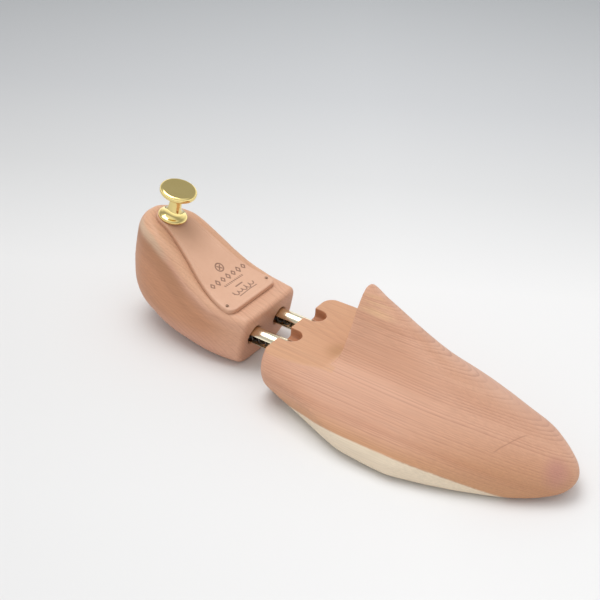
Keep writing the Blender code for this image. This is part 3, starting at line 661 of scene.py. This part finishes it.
def make_heel(material):
    last = HEEL_FRONT - HEEL_FRONT_ROUND
    stations = [last * (i / 90) ** 2 for i in range(4, 90)]
    rings = [heel_ring(x) for x in stations]
    for dx, dz in arc((0, 0), HEEL_FRONT_ROUND, 90, 0, 14):
        rings.append(heel_ring(last + dx, HEEL_FRONT_ROUND - dz))
    block = loft("cedar_heel", rings, ((0, 0, HEEL_TOP[0][1]), None))
    cutters = [rod(f"heel_bore_{side}", 5.7, (46, y, TUBE_HEIGHT), (99, y, TUBE_HEIGHT))
               for side, y in TUBES.items()]
    cutters.append(rod("cross_hole", CROSS_PIN_RADIUS + GAP, (CROSS_PIN_X, -17.8, TUBE_HEIGHT),
                       (CROSS_PIN_X, 40, TUBE_HEIGHT), 40))
    seat = knob_seat()
    stud_hole = turned("stud_hole", [(2.5, -22.3), (2.5, 10)], 32)
    stud_hole.data.transform(seat)
    cutters.append(stud_hole)
    cut(block, *cutters)
    sanded(block, 0.6, 4)
    smooth(block)
    return piece(block, material, "heel", "cedar_heel", "heel_block")


# ---- the leather ------------------------------------------------------------------------------
LEATHER_HALF_WIDTH = [(12.5, 0), (13.5, 4), (16, 7), (20, 8.8), (26, 9.8), (34, 11.8), (44, 14.2),
                      (54, 17), (62, 19), (70, 20.7), (76, 21.5), (83.2, 21.8)]
LEATHER_BACK = 12.5
LEATHER_FRONT = 83.2
LEATHER_CORNER = 5
LEATHER_LIFT = 0.3
LEATHER_THICK = 2.4
ORNAMENT_BACK = 52.0
ORNAMENT_FRONT = 77.4
ORNAMENT_SPREAD = 1.18


def leather_half_width(x):
    spaced = [(math.sqrt(px - LEATHER_BACK), value) for px, value in LEATHER_HALF_WIDTH]
    half = curve(spaced, math.sqrt(max(x - LEATHER_BACK, 0)))
    into = LEATHER_CORNER - (LEATHER_FRONT - x)
    if into > 0:
        half -= LEATHER_CORNER - math.sqrt(max(LEATHER_CORNER**2 - into**2, 0))
    return half


def leather_centre(x):
    """The pad's middle drifts towards the lateral side as it runs forward."""
    return -1.6 * max(0, x - 25) / 57


def leather_level(x, lift):
    """A point lifted off the heel's top at right angles to it."""
    slope = from_heel(HEEL_TOP, x + 0.5) - from_heel(HEEL_TOP, x - 0.5)
    length = math.hypot(1, slope)
    return x - lift * slope / length, from_heel(HEEL_TOP, x) + lift / length


def stroke(x, y, points, width):
    """1 on a line through points and 0 off it, for arrays of places."""
    nearest = np.full(x.shape, 1e9)
    for (ax, ay), (bx, by) in zip(points, points[1:]):
        dx, dy = bx - ax, by - ay
        t = np.clip(((x - ax) * dx + (y - ay) * dy) / max(dx * dx + dy * dy, 1e-9), 0, 1)
        nearest = np.minimum(nearest, np.hypot(x - ax - t * dx, y - ay - t * dy))
    return 1 - smoothstep(width * 0.5, width * 0.5 + 0.28, nearest)


def stamp(x, y):
    """The stamped ornament on the leather: a ring, a row of lozenges, dots and a flourish."""
    ink = np.zeros(x.shape)
    y = y / ORNAMENT_SPREAD

    def draw(points, width):
        np.maximum(ink, stroke(x, y, points, width), out=ink)

    draw(arc((55.2, 0), 2.3, 0, 360, 28), 0.45)
    draw([(54.2, -1.0), (56.2, 1.0)], 0.4)
    draw([(56.2, -1.0), (54.2, 1.0)], 0.4)
    for i in range(7):
        middle = (i - 3) * 4.1
        size = 1.75 if i % 2 else 1.45
        draw([(61.8 - size, middle), (61.8, middle + 1.15), (61.8 + size, middle), (61.8, middle - 1.15),
              (61.8 - size, middle)], 0.42)
    for i in range(11):
        draw([(65.6, (i - 5) * 1.35), (66.3, (i - 5) * 1.35 + 0.3)], 0.42)
    draw([(69.8, -2.2), (69.8, 2.6)], 0.55)
    wave = []
    for i in range(70):
        t = i / 69
        swing = 2.0 * math.sin(t * 34) * (0.45 + 0.55 * math.cos(t * 5) ** 2)
        wave.append((74.0 - swing, -8.2 + 16.4 * t + 0.55 * math.cos(t * 34)))
    draw(wave, 0.4)
    draw([(77.0, -6.5), (76.6, 2.0), (76.9, 7.0)], 0.32)
    return ink


def make_leather(material):
    """The pad: a fine grid over its top, closest under the ornament, and a plain underside."""
    xs = [LEATHER_BACK + 3.5 * (i / 20) ** 2 for i in range(1, 20)]
    xs += list(np.arange(16.0, ORNAMENT_BACK, 0.55))
    xs += list(np.arange(ORNAMENT_BACK, ORNAMENT_FRONT, 0.22))
    xs += list(np.linspace(ORNAMENT_FRONT, LEATHER_FRONT - 0.9, 16))
    xs += list(LEATHER_FRONT - 0.8 * (1 - np.linspace(0, 1, 9)) ** 1.5)
    columns = 168
    spread = np.linspace(-1, 1, columns)
    spread = np.sign(spread) * (1 - (1 - np.abs(spread)) ** 1.18)
    halves = np.array([leather_half_width(x) for x in xs])
    fine = np.linspace(LEATHER_BACK, LEATHER_FRONT, 500)
    edge = [(x, leather_centre(x) + s * leather_half_width(x)) for x in fine for s in (-1, 1)]
    edge += [(LEATHER_FRONT, y) for y in np.linspace(-18.4, 15.2, 120)]
    edge = np.array(edge)
    gx = np.repeat(np.array(xs)[:, None], columns, 1)
    middles = np.array([leather_centre(x) for x in xs])
    gy = middles[:, None] + halves[:, None] * spread[None, :]
    inside = np.empty(gx.shape)
    for row in range(len(xs)):
        away = np.hypot(gx[row][:, None] - edge[None, :, 0], gy[row][:, None] - edge[None, :, 1])
        inside[row] = away.min(1)
    inside[:, 0] = inside[:, -1] = 0
    ink = stamp(gx, gy)
    round_off = 0.85
    near = np.clip(1 - inside / round_off, 0, 1)
    top = LEATHER_LIFT + LEATHER_THICK - round_off * (1 - np.sqrt(1 - near**2)) - 0.09 * ink
    top -= 0.12 * np.exp(-((inside - 2.6) / 0.35) ** 2)

    def sag(x, y):
        """How far the wood below falls away under the pad's edge."""
        round_edge = curve(HEEL_TOP_ROUND, x)
        flat = from_heel(HEEL_TOP_MEDIAL if y > 0 else HEEL_TOP_LATERAL, x) - round_edge
        past = min(max(abs(y) - flat, 0), 0.98 * round_edge)
        return 0.8 * (round_edge - math.sqrt(round_edge**2 - past**2))

    points, faces = [], []
    for row, x in enumerate(xs):
        for col in range(columns):
            px, pz = leather_level(x, float(top[row, col]))
            points.append((px, float(gy[row, col]), pz - sag(x, gy[row, col])))
    for row in range(len(xs) - 1):
        for col in range(columns - 1):
            a = row * columns + col
            faces.append((a, a + 1, a + columns + 1, a + columns))
    low = len(points)
    for row, x in enumerate(xs):
        px, pz = leather_level(x, LEATHER_LIFT)
        for s in (-1, 1):
            y = float(middles[row] + s * 0.985 * halves[row])
            points.append((px, y, pz - sag(x, y)))
    for row in range(len(xs) - 1):
        a, b = row * columns, low + 2 * row
        faces.append((a, a + columns, b + 2, b))
        faces.append((a + columns - 1, b + 1, b + 3, a + 2 * columns - 1))
        faces.append((b, b + 2, b + 3, b + 1))
    faces.append(tuple(range(columns)) + (low + 1, low))
    last = (len(xs) - 1) * columns
    front = tuple(reversed(range(last, last + columns)))
    faces.append(front + (low + 2 * len(xs) - 2, low + 2 * len(xs) - 1))
    pad = new_object("leather_insole_pad", points, faces)
    for name, elsewhere, mask in (("stamp", 0, ink), ("rim", 1, near)):
        values = np.full(len(points), elsewhere, np.float32)
        values[:low] = mask.ravel()
        pad.data.attributes.new(name, "FLOAT", "POINT").data.foreach_set("value", values)
    smooth(pad, 50)
    return piece(pad, material, "heel", "pad_leather", "leather_pad")


def leather_material():
    g = Graph("veg_tan_leather", 0.5)
    stamp_mask = g.add("ShaderNodeAttribute", attribute_name="stamp").outputs["Fac"]
    rim = g.add("ShaderNodeAttribute", attribute_name="rim").outputs["Fac"]
    cloud = g.noise((0.05, 0.06, 0.05), 3.0, 0.5)
    mottle = g.noise((0.35, 0.35, 0.35), 4.0, 0.6, shift=9)
    colour = g.mix(g.spread(cloud, 0, 1), (0.68, 0.405, 0.275), (0.62, 0.355, 0.235))
    colour = g.mix(g.spread(mottle, 0, 0.35), colour, (0.72, 0.45, 0.31))
    # painted shade: the leather darker around the knob and just ahead of it
    knob_shade = g.spot((30, 0, 60), (30, 22, 22), 0.95)
    colour = g.tint(colour, knob_shade, 0.65, (0.49, 0.265, 0.16))
    colour = g.tint(colour, rim, 0.45, (0.42, 0.20, 0.11))
    colour = g.tint(colour, stamp_mask, 0.80, (0.16, 0.075, 0.045))
    fine = g.vector("MULTIPLY", g.place, (1.9, 1.9, 1.9))
    pores = g.add("ShaderNodeTexVoronoi", {"Vector": fine, "Scale": 1.0})
    grain = g.math("ADD", g.steps(pores.outputs[0], 0.0, 0.5), g.math("MULTIPLY", mottle, 0.8))
    rough = g.spread(mottle, 0.44, 0.58)
    return g.finish(colour, rough, grain, 0.00004, 0.5)


# ---- the metal --------------------------------------------------------------------------------
KNOB_PROFILE = [(8.5, 0), (8.5, 0.7), (8.0, 1.3), (6.6, 2.2), (5.0, 3.6), (4.1, 5.4), (3.7, 8),
                (3.6, 11), (3.9, 13.4), (5.2, 15), (8.4, 15.9), (10.2, 16.4), (10.7, 17.1),
                (10.75, 18.1), (10.4, 19), (9.5, 19.5)]


def knob_seat():
    """The knob's frame, in metres: its base rests on the leather and its axis leans to the toe."""
    x, z = leather_level(KNOB_X, LEATHER_LIFT + LEATHER_THICK)
    spot = (Vector((x, 0, z + GAP)) + ORIGIN) * MM
    return Matrix.Translation(spot) @ Matrix.Rotation(KNOB_TILT, 4, "Y")


def make_knob(material):
    lengths = [0]
    for a, b in zip(KNOB_PROFILE, KNOB_PROFILE[1:]):
        lengths.append(lengths[-1] + math.dist(a, b))
    radii = [(s, p[0]) for s, p in zip(lengths, KNOB_PROFILE)]
    heights = [(s, p[1]) for s, p in zip(lengths, KNOB_PROFILE)]
    outline = [(2.5, 9.6), (2.5, 0.2)]
    for i in range(111):
        s = lengths[-1] * i / 110
        outline.append((curve(radii, s), curve(heights, s) + 0.2))
    outline += [(9.2, 19.7), (6, 19.7), (0, 19.7)]
    knob = turned("brass_knob", [(0, 9.6)] + outline, 128)
    knob.data.transform(knob_seat())
    smooth(knob, 28)
    return piece(knob, material, "heel", "polished_brass", "knob")


def make_stud(material):
    outline = [(0, -22), (1.2, -20.2)]
    z = -19.0
    while z < 8.4:
        outline += [(2.2, z), (2.2, z + 0.18), (1.85, z + 0.42), (1.85, z + 0.55)]
        z += 0.75
    outline += [(2.0, 8.9), (0, 9.0)]
    stud = turned("threaded_stud", outline, 40)
    stud.data.transform(knob_seat())
    smooth(stud, 30)
    return piece(stud, material, "heel", "steel", "knob_stud")


def tack_point(y, lift):
    x, z = leather_level(TACK_X, LEATHER_LIFT + LEATHER_THICK + lift)
    return (x, y, z)


def make_tack(side, y, material):
    head = 0.9
    outline = [(0, -9), (0.2, -8.4), (0.45, -7.6), (0.45, 0.26), (head * 0.94, 0.28), (head, 0.36),
               (head * 0.97, 0.46), (head * 0.8, 0.6), (head * 0.5, 0.72), (head * 0.2, 0.77), (0, 0.78)]
    tack = along(turned(f"pad_tack_{side}", outline, 40), tack_point(y, 0), tack_point(y, 1))
    smooth(tack, 40)
    return piece(tack, material, "heel", "dark_steel", f"tack_{side}")


def fixing_hole(y):
    return rod("fixing_hole", FIXING_HOLE_RADIUS, (FIXING_PIN_X, y, TUBE_HEIGHT - 8),
               (FIXING_PIN_X, y, TUBE_HEIGHT + 8), 32)


def make_tube(side, y, material):
    """A drawn brass tube with eased ends and a slot right through it."""
    start, end, outer = TUBE_BACK, TUBE_FRONT, TUBE_RADIUS
    inner = outer - TUBE_WALL
    ease = 0.18
    xs = [ease] + list(np.linspace(ease + 0.2, end - start - ease - 0.2, 60)) + [end - start - ease]
    outline = [(inner + ease, 0), (outer - ease, 0)] + [(outer, x) for x in xs]
    outline += [(outer - ease, end - start), (inner + ease, end - start)]
    outline += [(inner, x) for x in reversed(xs)]
    tube = along(turned(f"brass_tube_{side}", outline, 96, closed=True),
                 (start, y, TUBE_HEIGHT), (end, y, TUBE_HEIGHT))
    radius = SLOT_RADIUS
    back = CROSS_PIN_X - CROSS_PIN_RADIUS - GAP + radius
    slot = [(px + SLOT_FRONT - radius, pz + TUBE_HEIGHT) for px, pz in arc((0, 0), radius, -90, 90, 24)]
    slot += [(px + back, pz + TUBE_HEIGHT) for px, pz in arc((0, 0), radius, 90, 270, 24)]
    slot_cutter = loft(f"slot_{side}", [[(px, y + reach, pz) for px, pz in slot] for reach in (-8, 8)])
    cut(tube, slot_cutter, fixing_hole(y))
    change(tube, "BEVEL", width=0.14 * MM, segments=2, limit_method="ANGLE",
           angle_limit=math.radians(55))
    applied(tube)
    smooth(tube, 35)
    return piece(tube, material, "forepart", "tube_brass", f"guide_tube_{side}")


def eased(radius, length, ease):
    """A rod's outline with eased ends."""
    return [(0, 0), (radius - ease, 0), (radius - ease * 0.3, ease * 0.3), (radius, ease),
            (radius, length - ease), (radius - ease * 0.3, length - ease * 0.3), (radius - ease, length),
            (0, length)]


def make_fittings(side, y, steel, dark, brass, wire):
    plug = along(turned(f"brass_plug_{side}", eased(TUBE_RADIUS - TUBE_WALL - GAP, 9, 0.4), 64),
                 (PLUG_BACK, y, TUBE_HEIGHT), (PLUG_BACK + 9, y, TUBE_HEIGHT))
    cut(plug, fixing_hole(y))
    piece(smooth(plug, 35), brass, "forepart", "tube_brass", f"tube_plug_{side}")
    pin = along(turned(f"fixing_pin_{side}", eased(FIXING_HOLE_RADIUS - GAP, 22.5, 0.3), 40),
                (FIXING_PIN_X, y, 1.5), (FIXING_PIN_X, y, 24))
    piece(smooth(pin, 35), steel, "forepart", "steel", f"tube_pin_{side}")
    start = CROSS_PIN_X + CROSS_PIN_RADIUS + GAP
    outline = [(0, 0), (3.6, 0), (3.8, 0.2), (3.8, 1.2), (3.6, 1.4), (2.3, 1.4), (2.15, 1.6), (1.9, 4.7),
               (1.6, 5), (0, 5)]
    seat = along(turned(f"spring_cup_{side}", outline, 56),
                 (start, y, TUBE_HEIGHT), (start + 5, y, TUBE_HEIGHT))
    piece(smooth(seat, 35), dark, "heel", "dark_steel", f"spring_seat_{side}")
    spring = make_spring(side, y, start + 1.4 + GAP, PLUG_BACK - GAP)
    piece(spring, wire, "forepart", "spring_steel", f"spring_{side}")
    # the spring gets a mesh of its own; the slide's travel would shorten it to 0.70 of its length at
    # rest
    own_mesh(spring)


def make_spring(side, y, low, high):
    """A compression spring with closed, nearly touching end coils."""
    radius, thick, turns, per_turn, around = 3.2, 0.45, 14, 28, 10
    steps = turns * per_turn
    gaps = []
    for i in range(steps):
        turn = i / per_turn
        gaps.append(0.95 if turn < 1 or turn > turns - 1 else 4.6)
    scale = (high - low - 2 * thick) / sum(gaps)
    points, faces = [], []
    x = low + thick
    for i in range(steps + 1):
        angle = 2 * math.pi * i / per_turn
        out = Vector((0, math.cos(angle), math.sin(angle)))
        centre = Vector((x, y, TUBE_HEIGHT)) + out * radius
        for k in range(around):
            around_angle = 2 * math.pi * k / around
            turn_out = math.cos(around_angle) * out + math.sin(around_angle) * Vector((1, 0, 0))
            points.append(centre + thick * turn_out)
        if i < steps:
            x += gaps[i] * scale
    for i in range(steps):
        for k in range(around):
            a, b = i * around + k, i * around + (k + 1) % around
            faces.append((a, b, b + around, a + around))
    faces += [tuple(range(around)), tuple(range(steps * around, (steps + 1) * around))]
    return smooth(new_object(f"wire_spring_{side}", points, faces), 45)


def make_cross_pin(material):
    pin = along(turned("steel_cross_pin", eased(CROSS_PIN_RADIUS, 41, 0.4), 48),
                (CROSS_PIN_X, -17.5, TUBE_HEIGHT), (CROSS_PIN_X, 23.5, TUBE_HEIGHT))
    return piece(smooth(pin, 35), material, "heel", "steel", "cross_pin")


def metal(name, colour, dull, roughness, scratch):
    """A metal with faint cloudiness and fine wear in its polish."""
    g = Graph(name, roughness, 1.0)
    cloud = g.noise((0.12, 0.12, 0.12), 3.0, 0.55)
    fine = g.noise((0.25, 3.0, 3.0), 3.0, 0.6, shift=4)
    colour = g.mix(g.spread(cloud, 0, 1), colour, dull)
    worn = g.math("ADD", g.math("MULTIPLY", fine, scratch), g.math("MULTIPLY", cloud, scratch * 0.6))
    rough = g.math("ADD", worn, roughness)
    return g.finish(colour, rough, fine, 0.00002, 0.06)


# ---- the pieces -------------------------------------------------------------------------------
# Cedar's pale, base and deep heartwood, its growth lines, its sapwood and the band beside that.
FORE_COLOURS = ((0.66, 0.385, 0.262), (0.615, 0.335, 0.220), (0.545, 0.280, 0.175), (0.36, 0.145, 0.085),
                (0.725, 0.61, 0.465), (0.54, 0.285, 0.15))
HEEL_COLOURS = ((0.62, 0.36, 0.25), (0.56, 0.305, 0.205), (0.50, 0.255, 0.165), (0.34, 0.145, 0.085),
                (0.74, 0.58, 0.41), (0.50, 0.27, 0.15))
fore_cedar = cedar("cedar_forepart_wood", forepart_rings, FORE_COLOURS, sap_radius=233.4,
                   spacing=1.30, extras=forepart_extras)
heel_cedar = cedar("cedar_heel_wood", heel_rings, HEEL_COLOURS, sap_radius=190.0, spacing=1.7,
                   extras=heel_extras)
knob_brass = metal("polished_knob_brass", (0.86, 0.70, 0.30), (0.82, 0.66, 0.27), 0.045, 0.03)
tube_brass = metal("drawn_tube_brass", (0.87, 0.79, 0.60), (0.82, 0.74, 0.54), 0.17, 0.06)
steel = metal("plain_steel", (0.56, 0.56, 0.57), (0.45, 0.45, 0.46), 0.25, 0.10)
dark_steel = metal("oiled_cup_steel", (0.16, 0.12, 0.10), (0.10, 0.08, 0.07), 0.38, 0.12)
tack_steel = metal("bronzed_tack_steel", (0.30, 0.19, 0.13), (0.22, 0.14, 0.10), 0.36, 0.12)
# partly painted shade: the spring wire is dark steel, made dark enough that the tubes' slots read as
# shaded inside
wire_steel = metal("spring_wire_steel", (0.17, 0.15, 0.135), (0.10, 0.09, 0.08), 0.30, 0.10)

make_forepart(fore_cedar)
make_heel(heel_cedar)
make_leather(leather_material())
make_knob(knob_brass)
make_stud(steel)
make_cross_pin(steel)
for side, y in TACKS.items():
    make_tack(side, y, tack_steel)
for side, y in TUBES.items():
    make_tube(side, y, tube_brass)
    make_fittings(side, y, steel, dark_steel, tube_brass, wire_steel)


# ---- floor, light and camera ------------------------------------------------------------------
def make_floor():
    """White paper with painted light falloff: greyer far behind the tree and a little darker beyond its
    heel.
    """
    size = 4000
    corners = [(-size, -size, 0), (size, -size, 0), (size, size, 0), (-size, size, 0)]
    floor = new_object("paper_floor", corners, [(0, 1, 2, 3)], shift=False)
    g = Graph("pale_paper", 0.75)
    # painted light falloff: the paper turns grey with distance behind the tree
    back = g.math("ADD", g.math("MULTIPLY", g.x, -0.515), g.math("MULTIPLY", g.y, 0.857))
    fall = g.spread(back, 0, 1, -100, 760)
    grain = g.noise((0.4, 0.4, 0.4), 3.0)
    colour = g.ramp(fall, (0.0, (0.83, 0.83, 0.83)), (0.25, (0.80, 0.80, 0.80)),
                    (0.42, (0.66, 0.665, 0.67)), (0.60, (0.56, 0.57, 0.585)), (1.0, (0.42, 0.435, 0.45)))
    # painted light falloff: darker towards the side beyond the heel
    side = g.math("ADD", g.math("MULTIPLY", g.x, 0.834), g.math("MULTIPLY", g.y, 0.548))
    colour = g.shaded(colour, g.spread(side, 0.80, 1.0, -320, 40))
    g.shader.inputs["Specular IOR Level"].default_value = 0.1
    floor.data.materials.append(g.finish(colour, None, grain, 0.00002, 0.2))


def make_light(name, place, aim, size, power):
    data = bpy.data.lights.new(name, "AREA")
    data.shape = "RECTANGLE"
    data.size, data.size_y = size
    data.energy = power
    lamp = bpy.data.objects.new(name, data)
    bpy.context.scene.collection.objects.link(lamp)
    lamp.location = place
    lamp.rotation_euler = (Vector(aim) - Vector(place)).to_track_quat("-Z", "Y").to_euler()


def make_world():
    """Soft light from all round: bright below and overhead, dim between."""
    world = bpy.data.worlds.new("studio")
    bpy.context.scene.world = world
    world.use_nodes = True
    tree = world.node_tree
    shade = tree.nodes["Background"]
    place = tree.nodes.new("ShaderNodeTexCoord")
    parts = tree.nodes.new("ShaderNodeSeparateXYZ")
    ramp = tree.nodes.new("ShaderNodeValToRGB")
    tree.links.new(place.outputs["Generated"], parts.inputs[0])
    tree.links.new(parts.outputs[2], ramp.inputs[0])
    tree.links.new(ramp.outputs[0], shade.inputs[0])
    stops = ramp.color_ramp.elements
    stops[0].position, stops[0].color = 0.0, (1.0, 1.0, 1.0, 1)
    stops[1].position, stops[1].color = 1.0, (0.75, 0.75, 0.75, 1)
    for where, grey in ((0.22, 0.78), (0.42, 0.56), (0.60, 0.29), (0.73, 0.29), (0.86, 0.60)):
        stops.new(where).color = (grey, grey, grey, 1)
    shade.inputs[1].default_value = 1.55


def make_camera():
    data = bpy.data.cameras.new("camera")
    data.sensor_width = 36
    data.lens = 69.147
    data.clip_start = 0.01
    data.clip_end = 20
    camera = bpy.data.objects.new("camera", data)
    bpy.context.scene.collection.objects.link(camera)
    camera.location = (0.246306, -0.453560, 0.386123)
    camera.rotation_euler = tuple(math.radians(a) for a in (57.4202, -3.6182, 33.3281))
    bpy.context.scene.camera = camera


make_floor()
make_light("overhead_softbox", (-0.35, 0.05, 1.15), (0, 0, 0), (0.9, 0.7), 6.5)
make_world()
make_camera()
bpy.context.scene.view_settings.view_transform = "Standard"
